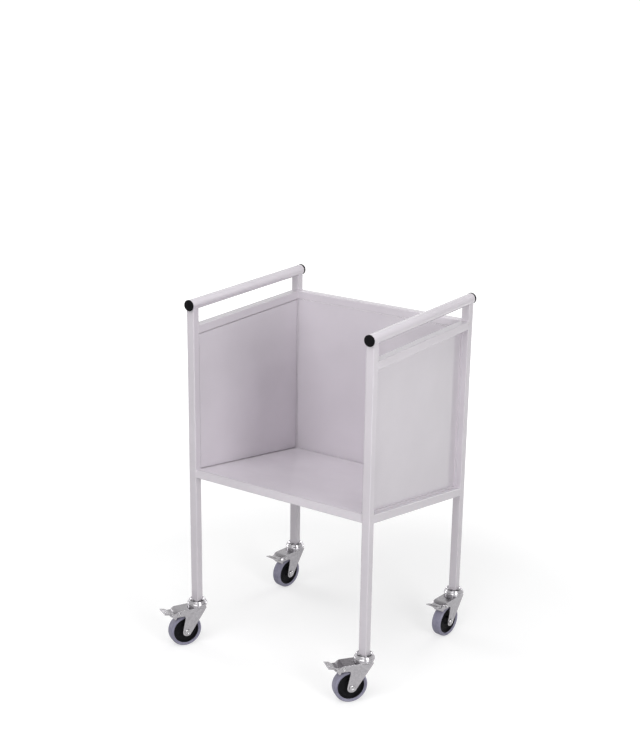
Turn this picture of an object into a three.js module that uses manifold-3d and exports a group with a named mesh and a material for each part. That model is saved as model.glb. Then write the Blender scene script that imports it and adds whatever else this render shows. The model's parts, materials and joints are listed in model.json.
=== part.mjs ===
// A wheeled chart rack: a welded square-tube frame with three sheet walls, a sloped shelf,
// two round push handles and four braked swivel castors. Millimetres, +Z up, floor at z = 0.
// +X is to the right and -Y is the open front, as seen by someone who files the charts.
import * as THREE from 'three';
import { mergeVertices } from 'three/addons/utils/BufferGeometryUtils.js';
import Module from 'manifold-3d';

// Frame
const POST_SPACING_X = 482; // between the post centrelines, left to right
const POST_SPACING_Y = 418; // between the post centrelines, front to back
const TUBE = 20; // side of the square tube
const TUBE_WALL = 1.5;
const TUBE_CORNER = 2;
const TOP_RAIL_Z = 804; // top face of the three upper rails
const SHELF_FRONT_Z = 454; // top of the front shelf rail
const SHELF_DROP = 69; // fall of the shelf from the front posts to the back posts
const FIT = 0.3; // gap left at every welded or seated joint

// Push handles
const HANDLE_RISE = 49; // handle axis above the upper rails
const HANDLE_DIAMETER = 25;
const HANDLE_WALL = 1.5;
const HANDLE_OVERHANG = 12; // from the post centreline to the tube end
const PLUG_HEAD_DIAMETER = 26;
const PLUG_HEAD_DEPTH = 3.6;
const PLUG_RIM = 1.6; // straight edge of the plug head
const PLUG_INSERT = 14;

// Sheet metal
const SHEET = 1.2;
const PANEL_SETBACK = 1; // panel surface behind the inner faces of the tubes
const SHELF_GAP = 1.5; // between the shelf and the inner faces of the tubes
const SHELF_FLANGE = 14; // depth of the turned-down edges

// Wheels
const WHEEL_DIAMETER = 80;
const TYRE_WIDTH = 27;
const TYRE_DEPTH = 8;
const TYRE_SHOULDER = 4;
const RIM_WIDTH = 20;
const RIM_DEPTH = 4;
const WEB_WIDTH = 9;
const HUB_DIAMETER = 20;
const HUB_CLEARANCE = 1; // between the hub and each cheek
const AXLE_DIAMETER = 8;
const AXLE_HEAD_DIAMETER = 14;
const AXLE_HEAD_DEPTH = 3.2;

// Castor forks, measured from the swivel axis towards the wheel (trailing way)
const TRAIL = 34;
const FORK_WIDTH = 36;
const FORK_SHEET = 2.5;
const FORK_EDGE = 2.4; // rounding of the pressed edges
const CROWN_CLEARANCE = 15.5; // from the tread to the underside of the crown
const CROWN_REACH = 16; // crown edge ahead of the swivel axis
const CROWN_CORNER = 5;
const RACEWAY_DIAMETER = 46; // round raceway pressed into the crown
const RACEWAY_DEPTH = 4; // its flare below the top of the crown
const RACEWAY_RISE = 4; // and its height above it
const HOOD_NOSE = 19; // hood's end behind the pedal pivot
const HOOD_CURVE = 27; // rounded length of the hood
const HOOD_CORNER = 11; // rounding of the hood's end, seen from above
const SKIRT_CLEARANCE = 3; // skirt edge above the tread
const SKIRT_FILLET = 7;
const CHEEK_TIP_RADIUS = 11.5;
const CHEEK_NECK = 2.5; // trailing edge behind the hub, under the skirt
const WHEEL_CLEARANCE = 3;

// Swivel heads
const HEAD_HEIGHT = 16; // from the crown to the foot of the post
const CUP_DIAMETER = 49;
const CUP_TOP_DIAMETER = 40;
const CUP_WALL = 2.2;
const CUP_RIM = 4;
const CUP_LIP = 1.5; // width of the lip round the dished top
const CUP_GROOVE = 2; // groove round the flange, below its seat
const RUNNING_GAP = 0.6; // between the cup and the fork
const RACE_DIAMETER = 36; // through the ball centres
const BALL_DIAMETER = 5;
const KINGPIN_DIAMETER = 10;
const KINGPIN_HEAD_DIAMETER = 18;
const KINGPIN_HEAD_DEPTH = 4.5;
const STEM_DIAMETER = 16;
const STEM_LENGTH = 38; // reach up inside the post
const STEM_FLANGE_DIAMETER = 27;
const STEM_FLANGE = 2;

// Brake pedals, the plate measured from its pivot
const PEDAL_PIVOT_OFFSET = 20; // pivot behind the hub
const PEDAL_PIVOT_DROP = 8; // pivot below the top of the crown
const PEDAL_REACH = 38;
const PEDAL_BEND = 20; // where the plate bends up, outside the hood
const PEDAL_WIDTH = 26;
const PEDAL_TIP_WIDTH = 36;
const PEDAL_FLARE = 6; // length over which the plate widens, from the bend
const PEDAL_PLATE = 2.3;
const PEDAL_RISE = 4.2; // rise of the plate from the bend to its tip
const PEDAL_BARREL_DIAMETER = 8.4;
const SHOE_DEPTH = 16.1;
const SHOE_OFFSET = 7.5;
const SHOE_HALF = 3;
const PIN_DIAMETER = 5;
const PIN_HEAD_DIAMETER = 9;
const PIN_HEAD_DEPTH = 1.6;
const SLOT_ABOVE = 4.6; // pedal slot in the hood, above and below the pivot
const SLOT_BELOW = 3.5;
const SLOT_SIDE = 0.6;

// Where each castor stands and which way its wheel trails (degrees from +X about +Z)
const CASTORS = [
  { name: 'front_left', side: -1, end: -1, heading: 241 },
  { name: 'front_right', side: 1, end: -1, heading: 232 },
  { name: 'back_left', side: -1, end: 1, heading: 262 },
  { name: 'back_right', side: 1, end: 1, heading: 264 },
];

// Facets round a turn
const TURN = { tyre: 28, core: 18, cup: 18, race: 9, handle: 24, plug: 16, pin: 10 };
const CORNER_STEPS = 3;
const CURVE_STEPS = 4;
const WELD = 1e-4;

// Places worked out from the driving sizes
const postX = POST_SPACING_X / 2;
const postY = POST_SPACING_Y / 2;
const half = TUBE / 2;
const wheelRadius = WHEEL_DIAMETER / 2;
const crownTop = WHEEL_DIAMETER + CROWN_CLEARANCE + FORK_SHEET;
const postFoot = crownTop + HEAD_HEIGHT;
const innerHalf = FORK_WIDTH / 2 - FORK_SHEET;
const shelfTilt = Math.atan2(SHELF_DROP, POST_SPACING_Y);
const handleZ = TOP_RAIL_Z + HANDLE_RISE;

const wasm = await Module();
wasm.setup();

function paint(color, roughness, metalness) {
  return () => new THREE.MeshStandardMaterial({ color, roughness, metalness });
}

const powderCoat = paint(0xd2ccd2, 0.38, 0);
const blackPlastic = paint(0x141416, 0.5, 0);
const greyRubber = paint(0x84848f, 0.7, 0);
const zincPlate = paint(0xb9bbc0, 0.32, 0.9);

// Welds a geometry's corners, drops faces of no area and turns the faces outwards.
function closed(geometry) {
  const bare = geometry.clone();
  bare.deleteAttribute('normal');
  bare.deleteAttribute('uv');
  const merged = mergeVertices(bare, WELD);
  const spots = merged.getAttribute('position');
  const corner = [0, 1, 2].map(() => new THREE.Vector3());
  const faces = [];
  let volume = 0;
  for (let at = 0; at < merged.index.count; at += 3) {
    const face = [0, 1, 2].map((step) => merged.index.getX(at + step));
    if (new Set(face).size < 3) continue;
    face.forEach((vertex, step) => corner[step].fromBufferAttribute(spots, vertex));
    volume += corner[0].dot(corner[1].clone().cross(corner[2]));
    faces.push(face);
  }
  const outward = volume < 0 ? faces.map(([a, b, c]) => [a, c, b]) : faces;
  merged.setIndex(outward.flat());
  return merged;
}

function toSolid(geometry) {
  const body = closed(geometry);
  return new wasm.Manifold(new wasm.Mesh({
    numProp: 3,
    vertProperties: new Float32Array(body.getAttribute('position').array),
    triVerts: new Uint32Array(body.index.array),
  }));
}

function toGeometry(solid) {
  const mesh = solid.getMesh();
  const geometry = new THREE.BufferGeometry();
  geometry.setAttribute('position', new THREE.BufferAttribute(new Float32Array(mesh.vertProperties), 3));
  geometry.setIndex(new THREE.BufferAttribute(new Uint32Array(mesh.triVerts), 1));
  return geometry;
}

function cut(geometry, ...tools) {
  return toGeometry(tools.reduce((left, tool) => left.subtract(toSolid(tool)), toSolid(geometry)));
}

function join(geometry, ...others) {
  return toGeometry(others.reduce((sum, other) => sum.add(toSolid(other)), toSolid(geometry)));
}

function common(geometry, other) {
  return toGeometry(toSolid(geometry).intersect(toSolid(other)));
}

function piece(name, geometry, material) {
  const mesh = new THREE.Mesh(closed(geometry), material());
  mesh.name = name;
  return mesh;
}

// A turned piece about Z from [radius, height] pairs; a ring's profile ends where it starts.
function turned(profile, steps) {
  const points = profile.map(([radius, height]) => new THREE.Vector2(radius, height));
  return new THREE.LatheGeometry(points, steps).rotateX(Math.PI / 2);
}

// A turned piece about Y, for wheels, axles, pins and plugs.
function turnedAcross(profile, steps) {
  const points = profile.map(([radius, height]) => new THREE.Vector2(radius, height));
  return new THREE.LatheGeometry(points, steps);
}

// A side outline in X and Z, pressed out to a width centred on Y.
function acrossWidth(shape, width, edge = 0) {
  const geometry = new THREE.ExtrudeGeometry(shape, {
    depth: width - 2 * edge,
    curveSegments: CURVE_STEPS,
    bevelEnabled: edge > 0,
    bevelThickness: edge,
    bevelSize: edge,
    bevelOffset: -edge,
    bevelSegments: 2,
  });
  return geometry.translate(0, 0, edge - width / 2).rotateX(Math.PI / 2);
}

function block(low, high) {
  const size = high.map((value, axis) => value - low[axis]);
  const middle = high.map((value, axis) => (value + low[axis]) / 2);
  return new THREE.BoxGeometry(...size).translate(...middle);
}

function rod(radius, length, steps) {
  return new THREE.CylinderGeometry(radius, radius, length, steps);
}

// Square tube

function tubeSection() {
  const reach = half - TUBE_CORNER;
  const section = new THREE.Shape();
  [[1, 1], [-1, 1], [-1, -1], [1, -1]].forEach(([x, y], quarter) => {
    const start = (quarter * Math.PI) / 2;
    section.absarc(x * reach, y * reach, TUBE_CORNER, start, start + Math.PI / 2, false);
  });
  section.closePath();
  const bore = half - TUBE_WALL;
  const hole = new THREE.Path();
  hole.moveTo(bore, bore).lineTo(bore, -bore).lineTo(-bore, -bore).lineTo(-bore, bore).closePath();
  section.holes.push(hole);
  return section;
}

// A length of square tube along Z, centred on the origin.
function squareTube(length) {
  const geometry = new THREE.ExtrudeGeometry(tubeSection(), {
    depth: length,
    curveSegments: CORNER_STEPS,
    bevelEnabled: false,
  });
  return geometry.translate(0, 0, -length / 2);
}

// A post, its top coped to the round handle that is welded across it.
function postGeometry() {
  const length = handleZ - postFoot;
  const seat = rod(HANDLE_DIAMETER / 2 + FIT, 2 * TUBE, TURN.handle).translate(0, 0, length / 2);
  return cut(squareTube(length), seat);
}

function addPosts(parent) {
  for (const { name, side, end } of CASTORS) {
    const post = piece(`${name}_post`, postGeometry(), powderCoat);
    post.position.set(side * postX, end * postY, (handleZ + postFoot) / 2);
    parent.add(post);
  }
}

function addTopRails(parent) {
  const z = TOP_RAIL_Z - half;
  const sideLength = POST_SPACING_Y - TUBE - 2 * FIT;
  const backLength = POST_SPACING_X - TUBE - 2 * FIT;
  for (const [name, side] of [['left', -1], ['right', 1]]) {
    const rail = piece(`${name}_top_rail`, squareTube(sideLength).rotateX(Math.PI / 2), powderCoat);
    rail.position.set(side * postX, 0, z);
    parent.add(rail);
  }
  const back = piece('back_top_rail', squareTube(backLength).rotateY(Math.PI / 2), powderCoat);
  back.position.set(0, postY, z);
  parent.add(back);
}

// Push handles with their end plugs

function handleGeometry() {
  const section = new THREE.Shape().absarc(0, 0, HANDLE_DIAMETER / 2, 0, 2 * Math.PI, false);
  const bore = new THREE.Path().absarc(0, 0, HANDLE_DIAMETER / 2 - HANDLE_WALL, 0, 2 * Math.PI, true);
  section.holes.push(bore);
  const length = POST_SPACING_Y + 2 * HANDLE_OVERHANG;
  const geometry = new THREE.ExtrudeGeometry(section, {
    depth: length,
    curveSegments: TURN.handle / 2,
    bevelEnabled: false,
  });
  return geometry.translate(0, 0, -length / 2).rotateX(Math.PI / 2);
}

// The head covers the whole tube end, and the insert grips inside the bore.
function plugGeometry() {
  const head = PLUG_HEAD_DIAMETER / 2;
  const insert = HANDLE_DIAMETER / 2 - HANDLE_WALL - FIT;
  const lead = insert * 0.9;
  return turnedAcross([
    [0, -PLUG_INSERT],
    [lead, -PLUG_INSERT],
    [insert, -0.8 * PLUG_INSERT],
    [insert, FIT],
    [head, FIT],
    [head, FIT + PLUG_RIM],
    [0.9 * head, 0.8 * PLUG_HEAD_DEPTH],
    [0.6 * head, PLUG_HEAD_DEPTH],
    [0, PLUG_HEAD_DEPTH + FIT],
  ], TURN.plug);
}

function addHandles(parent) {
  for (const [sideName, side] of [['left', -1], ['right', 1]]) {
    const handle = piece(`${sideName}_handle`, handleGeometry(), powderCoat);
    handle.position.set(side * postX, 0, handleZ);
    parent.add(handle);
    for (const [endName, end] of [['front', -1], ['back', 1]]) {
      const plug = piece(`${sideName}_handle_${endName}_plug`, plugGeometry(), blackPlastic);
      plug.position.set(side * postX, end * (postY + HANDLE_OVERHANG), handleZ);
      plug.rotation.z = end < 0 ? Math.PI : 0;
      parent.add(plug);
    }
  }
}

// Sheet walls

const panelTop = TOP_RAIL_Z - TUBE - FIT;
const slopeRise = half / Math.cos(shelfTilt);
const shelfMiddle = SHELF_FRONT_Z - SHELF_DROP / 2; // rail tops, midway front to back

function railTopAt(y) {
  return shelfMiddle - y * Math.tan(shelfTilt);
}

// A side wall between the posts, its lower edge following the sloped rail.
function sidePanelGeometry() {
  const reach = postY - half - FIT;
  const outline = new THREE.Shape();
  outline.moveTo(-reach, panelTop).lineTo(-reach, railTopAt(-reach) + FIT);
  outline.lineTo(reach, railTopAt(reach) + FIT).lineTo(reach, panelTop).closePath();
  const sheet = new THREE.ExtrudeGeometry(outline, { depth: SHEET, bevelEnabled: false });
  return sheet.translate(0, 0, -SHEET / 2).rotateX(Math.PI / 2).rotateZ(Math.PI / 2);
}

function addPanels(parent) {
  const inFace = half - PANEL_SETBACK - SHEET / 2;
  for (const [name, side] of [['left', -1], ['right', 1]]) {
    const panel = piece(`${name}_panel`, sidePanelGeometry(), powderCoat);
    panel.position.x = side * (postX - inFace);
    parent.add(panel);
  }
  const reach = postX - half - FIT;
  const y = postY - inFace;
  const low = [-reach, y - SHEET / 2, railTopAt(y - SHEET) + FIT];
  const high = [reach, y + SHEET / 2, panelTop];
  parent.add(piece('back_panel', block(low, high), powderCoat));
}

// Shelf and its rails, made level and then tilted together about the middle of the frame

const railDistance = postY / Math.cos(shelfTilt);
const railSet = half * (Math.cos(shelfTilt) + Math.sin(shelfTilt) - 1); // keeps the tilted tube flush

// A side rail, its ends cut upright to butt against the posts.
function sideRailGeometry() {
  const length = (POST_SPACING_Y - TUBE - 2 * FIT) / Math.cos(shelfTilt);
  const lean = new THREE.Matrix4().makeShear(0, 0, 0, 0, 0, -Math.tan(shelfTilt));
  return squareTube(length).rotateX(Math.PI / 2).applyMatrix4(lean);
}

// The shelf laps over the front rail; its other three edges turn down inside the rails.
function shelfGeometry() {
  const side = postX - half - SHELF_GAP;
  const front = -railDistance + railSet - half;
  const back = railDistance - railSet - half - SHELF_GAP;
  const lap = front + TUBE + SHELF_GAP;
  const under = -SHELF_FLANGE;
  return cut(
    block([-side, front, under], [side, back, SHEET]),
    block([SHEET - side, front - 1, under - 1], [side - SHEET, back - SHEET, 0]),
    block([-side - 1, front - 1, under - 1], [side + 1, lap, 0]),
  );
}

function addShelf(parent) {
  const tilted = new THREE.Group();
  tilted.position.z = shelfMiddle - slopeRise;
  tilted.rotation.x = -shelfTilt;
  const crossLength = POST_SPACING_X - TUBE - 2 * FIT;
  for (const [name, end] of [['front', -1], ['back', 1]]) {
    const rail = piece(`${name}_shelf_rail`, squareTube(crossLength).rotateY(Math.PI / 2), powderCoat);
    rail.position.y = end * (railDistance - railSet);
    tilted.add(rail);
  }
  for (const [name, side] of [['left', -1], ['right', 1]]) {
    const rail = piece(`${name}_shelf_rail`, sideRailGeometry(), powderCoat);
    rail.position.x = side * postX;
    tilted.add(rail);
  }
  const shelf = piece('shelf', shelfGeometry(), powderCoat);
  shelf.position.z = half + FIT;
  tilted.add(shelf);
  parent.add(tilted);
}

// Swivel head: stem, cup and ball race

// Kingpin below, flange under the post foot, and the stem that is pressed up into the post.
function stemGeometry() {
  const pin = KINGPIN_DIAMETER / 2;
  const head = KINGPIN_HEAD_DIAMETER / 2;
  const stem = STEM_DIAMETER / 2;
  const headTop = crownTop - FORK_SHEET - RUNNING_GAP;
  const flangeTop = postFoot - FIT;
  const tip = postFoot + STEM_LENGTH;
  return turned([
    [0, headTop - KINGPIN_HEAD_DEPTH],
    [0.85 * head, headTop - KINGPIN_HEAD_DEPTH],
    [head, headTop - 0.6 * KINGPIN_HEAD_DEPTH],
    [head, headTop],
    [pin, headTop],
    [pin, flangeTop - STEM_FLANGE],
    [STEM_FLANGE_DIAMETER / 2, flangeTop - STEM_FLANGE],
    [STEM_FLANGE_DIAMETER / 2, flangeTop],
    [stem, flangeTop],
    [stem, tip - stem / 2],
    [0.7 * stem, tip],
    [0, tip],
  ], TURN.pin);
}

const cupFloor = postFoot - FIT - STEM_FLANGE - FIT;
const racewayTop = crownTop + RACEWAY_RISE;
const cupFoot = racewayTop + RUNNING_GAP;
const raceTop = cupFoot + BALL_DIAMETER;

// A bell-shaped cover over the balls, with a dished top that takes the stem's flange.
function cupGeometry() {
  const rim = CUP_DIAMETER / 2;
  const top = CUP_TOP_DIAMETER / 2;
  const bore = KINGPIN_DIAMETER / 2 + FIT;
  const seat = STEM_FLANGE_DIAMETER / 2 + FIT;
  const waist = cupFoot + CUP_RIM;
  const lip = postFoot - FIT;
  return turned([
    [bore, raceTop],
    [rim - 1.5 * CUP_WALL, raceTop],
    [rim - CUP_WALL, cupFoot],
    [rim - 0.3, cupFoot],
    [rim, cupFoot + 0.3 * CUP_RIM],
    [rim - 0.4, waist],
    [(rim + top) / 2, (waist + lip) / 2 - 0.5],
    [top + 0.8, lip - 2],
    [top, lip],
    [top - CUP_LIP, lip],
    [seat + CUP_LIP, cupFloor - CUP_GROOVE],
    [seat, cupFloor],
    [bore, cupFloor],
    [bore, raceTop],
  ], TURN.cup);
}

// The ring of balls, run together as one bead.
function raceGeometry() {
  const middle = RACE_DIAMETER / 2;
  const ball = BALL_DIAMETER / 2 - FIT / 2;
  const height = racewayTop + FIT + BALL_DIAMETER / 2;
  const sides = 6;
  const bead = Array.from({ length: sides + 1 }, (_, step) => {
    const angle = (2 * Math.PI * (step % sides)) / sides;
    return [middle + ball * Math.cos(angle), height + ball * Math.sin(angle)];
  });
  return turned(bead, TURN.race);
}

// Fork: two cheeks, crown, hood and skirt pressed from one sheet

const skirtZ = WHEEL_DIAMETER + SKIRT_CLEARANCE;
const hub = new THREE.Vector2(TRAIL, wheelRadius);
const pivot = new THREE.Vector2(TRAIL + PEDAL_PIVOT_OFFSET, crownTop - PEDAL_PIVOT_DROP);
const hoodReach = pivot.x + HOOD_NOSE;
const hoodStart = hoodReach - HOOD_CURVE;
const neck = new THREE.Vector2(TRAIL + CHEEK_NECK, skirtZ);
const crownEdge = new THREE.Vector2(-CROWN_REACH, crownTop - CROWN_CORNER);

// The straight leading edge runs from the crown to the cheek tip that it just touches.
function leadingEdge() {
  const toHub = hub.clone().sub(crownEdge);
  const angle = toHub.angle() - Math.asin(CHEEK_TIP_RADIUS / toHub.length());
  const length = Math.sqrt(toHub.lengthSq() - CHEEK_TIP_RADIUS ** 2);
  const way = new THREE.Vector2(Math.cos(angle), Math.sin(angle));
  const inward = new THREE.Vector2(-way.y, way.x);
  return { inward, foot: crownEdge.clone().addScaledVector(way, length) };
}

// The trailing edge leans from the tip, which it touches at this angle, to the neck under the skirt.
function trailingAngle() {
  const toNeck = neck.clone().sub(hub);
  return toNeck.angle() - Math.acos(CHEEK_TIP_RADIUS / toNeck.length());
}

function forkOutline() {
  const { foot } = leadingEdge();
  const trailing = trailingAngle();
  const fillet = SKIRT_FILLET;
  const outline = new THREE.Shape();
  outline.moveTo(hoodReach, skirtZ);
  outline.bezierCurveTo(
    hoodReach, crownTop - CROWN_CORNER,
    (hoodStart + hoodReach) / 2 + 2, crownTop,
    hoodStart, crownTop,
  );
  outline.lineTo(CROWN_CORNER - CROWN_REACH, crownTop);
  outline.quadraticCurveTo(-CROWN_REACH, crownTop, crownEdge.x, crownEdge.y);
  outline.lineTo(foot.x, foot.y);
  const tipStart = foot.clone().sub(hub).angle();
  outline.absarc(hub.x, hub.y, CHEEK_TIP_RADIUS, tipStart, 2 * Math.PI + trailing, false);
  outline.lineTo(neck.x + fillet * Math.sin(trailing), neck.y - fillet * Math.cos(trailing));
  outline.quadraticCurveTo(neck.x, neck.y, neck.x + fillet, neck.y);
  outline.closePath();
  return outline;
}

// What is pressed out between the cheeks: everything below the crown and behind the walls.
function forkHollow() {
  const { inward, foot } = leadingEdge();
  const under = crownTop - FORK_SHEET;
  const nose = hoodReach - FORK_SHEET;
  const edgeTop = crownEdge.clone().addScaledVector(inward, FORK_SHEET);
  const edgeFoot = foot.clone().addScaledVector(inward, FORK_SHEET);
  const hollow = new THREE.Shape();
  hollow.moveTo(nose, -wheelRadius).lineTo(nose, skirtZ);
  hollow.bezierCurveTo(
    nose, under - CROWN_CORNER,
    (hoodStart + nose) / 2 + 2, under,
    hoodStart, under,
  );
  hollow.lineTo(edgeTop.x + FORK_SHEET, under).lineTo(edgeTop.x, edgeTop.y);
  hollow.lineTo(edgeFoot.x, edgeFoot.y).lineTo(edgeFoot.x, -wheelRadius).closePath();
  return hollow;
}

// The fork seen from above, with a rounded end to the hood.
function forkPlan(halfWidth, reach, corner) {
  const front = -2 * CROWN_REACH;
  const plan = new THREE.Shape();
  plan.moveTo(front, halfWidth).lineTo(front, -halfWidth).lineTo(reach - corner, -halfWidth);
  plan.absarc(reach - corner, corner - halfWidth, corner, -Math.PI / 2, 0, false);
  plan.absarc(reach - corner, halfWidth - corner, corner, 0, Math.PI / 2, false);
  plan.closePath();
  const cutter = { depth: crownTop + wheelRadius, curveSegments: CURVE_STEPS / 2, bevelEnabled: false };
  return new THREE.ExtrudeGeometry(plan, cutter).translate(0, 0, FIT - wheelRadius);
}

function forkGeometry() {
  const raceway = RACEWAY_DIAMETER / 2;
  const bowl = turned([
    [0, crownTop - RACEWAY_DEPTH],
    [FORK_WIDTH / 2, crownTop - RACEWAY_DEPTH],
    [raceway, crownTop],
    [raceway, racewayTop],
    [0, racewayTop],
  ], TURN.cup);
  const slotSide = PEDAL_WIDTH / 2 + SLOT_SIDE;
  const slot = block(
    [pivot.x, -slotSide, pivot.y - SLOT_BELOW],
    [hoodReach + 1, slotSide, pivot.y + SLOT_ABOVE],
  );
  const wheelRoom = rod(wheelRadius + WHEEL_CLEARANCE, 2 * innerHalf, TURN.tyre).translate(hub.x, 0, hub.y);
  const axleHole = rod(AXLE_DIAMETER / 2 + FIT, 2 * FORK_WIDTH, TURN.pin).translate(hub.x, 0, hub.y);
  const pinHole = rod(PIN_DIAMETER / 2 + FIT, 2 * FORK_WIDTH, TURN.pin).translate(pivot.x, 0, pivot.y);
  const kingpinRoom = 2 * (RACEWAY_DEPTH + RACEWAY_RISE);
  const kingpinHole = rod(KINGPIN_DIAMETER / 2 + FIT, kingpinRoom, TURN.pin).rotateX(Math.PI / 2);
  const outside = forkPlan(FORK_WIDTH / 2, hoodReach, HOOD_CORNER);
  const inside = forkPlan(innerHalf, hoodReach - FORK_SHEET, HOOD_CORNER - FORK_SHEET);
  return cut(
    join(common(acrossWidth(forkOutline(), FORK_WIDTH, FORK_EDGE), outside), bowl),
    common(acrossWidth(forkHollow(), 2 * innerHalf), inside),
    wheelRoom,
    slot,
    axleHole,
    pinHole,
    kingpinHole.translate(0, 0, crownTop),
  );
}

// Wheel, axle and brake

// The tread's facets lie on the wheel's radius, and one of them lies flat on the floor.
function tyreGeometry() {
  const halfFacet = Math.PI / TURN.tyre;
  const tread = wheelRadius / Math.cos(halfFacet);
  const bore = wheelRadius - TYRE_DEPTH;
  const side = TYRE_WIDTH / 2;
  const shoulder = tread - TYRE_SHOULDER;
  return turnedAcross([
    [bore, -RIM_WIDTH / 2],
    [shoulder, -side],
    [tread - 0.3 * TYRE_SHOULDER, 0.3 * TYRE_SHOULDER - side],
    [tread, TYRE_SHOULDER - side],
    [tread, side - TYRE_SHOULDER],
    [tread - 0.3 * TYRE_SHOULDER, side - 0.3 * TYRE_SHOULDER],
    [shoulder, side],
    [bore, RIM_WIDTH / 2],
    [bore, -RIM_WIDTH / 2],
  ], TURN.tyre).rotateY(halfFacet);
}

// Hub, web and rim in one moulding.
function wheelCoreGeometry() {
  const rim = (wheelRadius - TYRE_DEPTH) * Math.cos(Math.PI / TURN.tyre) - FIT;
  const bore = AXLE_DIAMETER / 2 + FIT;
  const hubRadius = HUB_DIAMETER / 2;
  const hubEnd = innerHalf - HUB_CLEARANCE;
  const face = [
    [bore, hubEnd],
    [0.7 * hubRadius, hubEnd],
    [hubRadius, WEB_WIDTH / 2],
    [rim - RIM_DEPTH, WEB_WIDTH / 2],
    [rim - 0.8 * RIM_DEPTH, RIM_WIDTH / 2],
    [rim, RIM_WIDTH / 2],
  ];
  const otherFace = face.map(([radius, height]) => [radius, -height]).reverse();
  return turnedAcross([...face, ...otherFace, face[0]], TURN.core);
}

// A headed pin across the fork, domed at both ends.
function headedPin(shank, head, headDepth) {
  const seat = FORK_WIDTH / 2 + FIT;
  const end = [
    [shank, seat],
    [head, seat],
    [head, seat + 0.4 * headDepth],
    [0.7 * head, seat + headDepth],
    [0, seat + headDepth],
  ];
  const otherEnd = end.map(([radius, height]) => [radius, -height]).reverse();
  return turnedAcross([...otherEnd, ...end], TURN.pin);
}

// The pedal seen from above: narrow inside the hood, and flared to a paddle outside it.
function pedalPlan() {
  const narrow = PEDAL_WIDTH / 2;
  const wide = PEDAL_TIP_WIDTH / 2;
  const paddle = PEDAL_BEND + PEDAL_FLARE;
  const plan = new THREE.Shape();
  plan.moveTo(-PEDAL_BARREL_DIAMETER, narrow).lineTo(-PEDAL_BARREL_DIAMETER, -narrow);
  plan.lineTo(PEDAL_BEND, -narrow).lineTo(paddle, -wide).lineTo(2 * PEDAL_REACH, -wide);
  plan.lineTo(2 * PEDAL_REACH, wide).lineTo(paddle, wide).lineTo(PEDAL_BEND, narrow).closePath();
  const depth = 2 * PEDAL_REACH;
  return new THREE.ExtrudeGeometry(plan, { depth, bevelEnabled: false }).translate(0, 0, -PEDAL_REACH);
}

// The plate, the barrel round its pivot pin and the shoe that stops the tyre, about the pivot.
function pedalGeometry() {
  const barrel = PEDAL_BARREL_DIAMETER / 2;
  const plateTop = barrel + PEDAL_RISE;
  const barrelEnd = 1.6 * Math.PI;
  const outline = new THREE.Shape();
  outline.moveTo(PEDAL_REACH, plateTop - PEDAL_PLATE).lineTo(PEDAL_REACH, plateTop);
  outline.lineTo(PEDAL_BEND, barrel).lineTo(0, barrel).absarc(0, 0, barrel, Math.PI / 2, barrelEnd, false);
  outline.lineTo(SHOE_OFFSET - 0.7 * SHOE_HALF, -0.85 * SHOE_DEPTH);
  outline.lineTo(SHOE_OFFSET, -SHOE_DEPTH);
  outline.lineTo(SHOE_OFFSET + SHOE_HALF, -0.9 * SHOE_DEPTH);
  outline.lineTo(SHOE_OFFSET + SHOE_HALF, barrel - PEDAL_PLATE);
  outline.lineTo(PEDAL_BEND, barrel - PEDAL_PLATE).closePath();
  outline.holes.push(new THREE.Path().absarc(0, 0, PIN_DIAMETER / 2 + FIT, 0, 2 * Math.PI, true));
  return common(acrossWidth(outline, PEDAL_TIP_WIDTH), pedalPlan());
}

function addCastor(parent, { name, side, end, heading }) {
  const castor = new THREE.Group();
  castor.position.set(side * postX, end * postY, 0);
  castor.rotation.z = THREE.MathUtils.degToRad(heading);
  const axlePin = headedPin(AXLE_DIAMETER / 2, AXLE_HEAD_DIAMETER / 2, AXLE_HEAD_DEPTH);
  const pedalPin = headedPin(PIN_DIAMETER / 2, PIN_HEAD_DIAMETER / 2, PIN_HEAD_DEPTH);
  const atHub = [hub.x, 0, hub.y];
  const atPivot = [pivot.x, 0, pivot.y];
  const pieces = [
    ['stem', stemGeometry(), zincPlate],
    ['swivel_cup', cupGeometry(), zincPlate],
    ['ball_race', raceGeometry(), zincPlate],
    ['fork', forkGeometry(), zincPlate],
    ['axle_bolt', axlePin.translate(...atHub), zincPlate],
    ['wheel_core', wheelCoreGeometry().translate(...atHub), blackPlastic],
    ['tyre', tyreGeometry().translate(...atHub), greyRubber],
    ['brake_pedal', pedalGeometry().translate(...atPivot), zincPlate],
    ['pedal_pin', pedalPin.translate(...atPivot), zincPlate],
  ];
  for (const [part, geometry, material] of pieces) {
    castor.add(piece(`${name}_castor_${part}`, geometry, material));
  }
  parent.add(castor);
}

// Whole rack, its origin on the floor under the middle of its outline

const rack = new THREE.Group();
addPosts(rack);
addTopRails(rack);
addHandles(rack);
addPanels(rack);
addShelf(rack);
CASTORS.forEach((castor) => addCastor(rack, castor));

const outline = new THREE.Box3().setFromObject(rack, true);
const middle = outline.getCenter(new THREE.Vector3());
rack.position.set(-middle.x, -middle.y, 0);

const chartRack = new THREE.Group();
chartRack.add(rack);

export default chartRack;
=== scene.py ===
# %% [markdown]
# # A chart rack on four braked castors
# The rack is welded from square steel tube, with three sheet walls, a sloping shelf and two round
# push handles, and it rolls on four swivel castors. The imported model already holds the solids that
# carry and move, so this lesson only makes them look real: nearly every solid is replaced by a finer
# mesh in its place, and each finish is built from shader nodes.
# Blender works in metres here, with Z up and the floor at zero.

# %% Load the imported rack
import json
import math

import bmesh
import bpy
from mathutils import Matrix, Vector, noise


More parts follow.
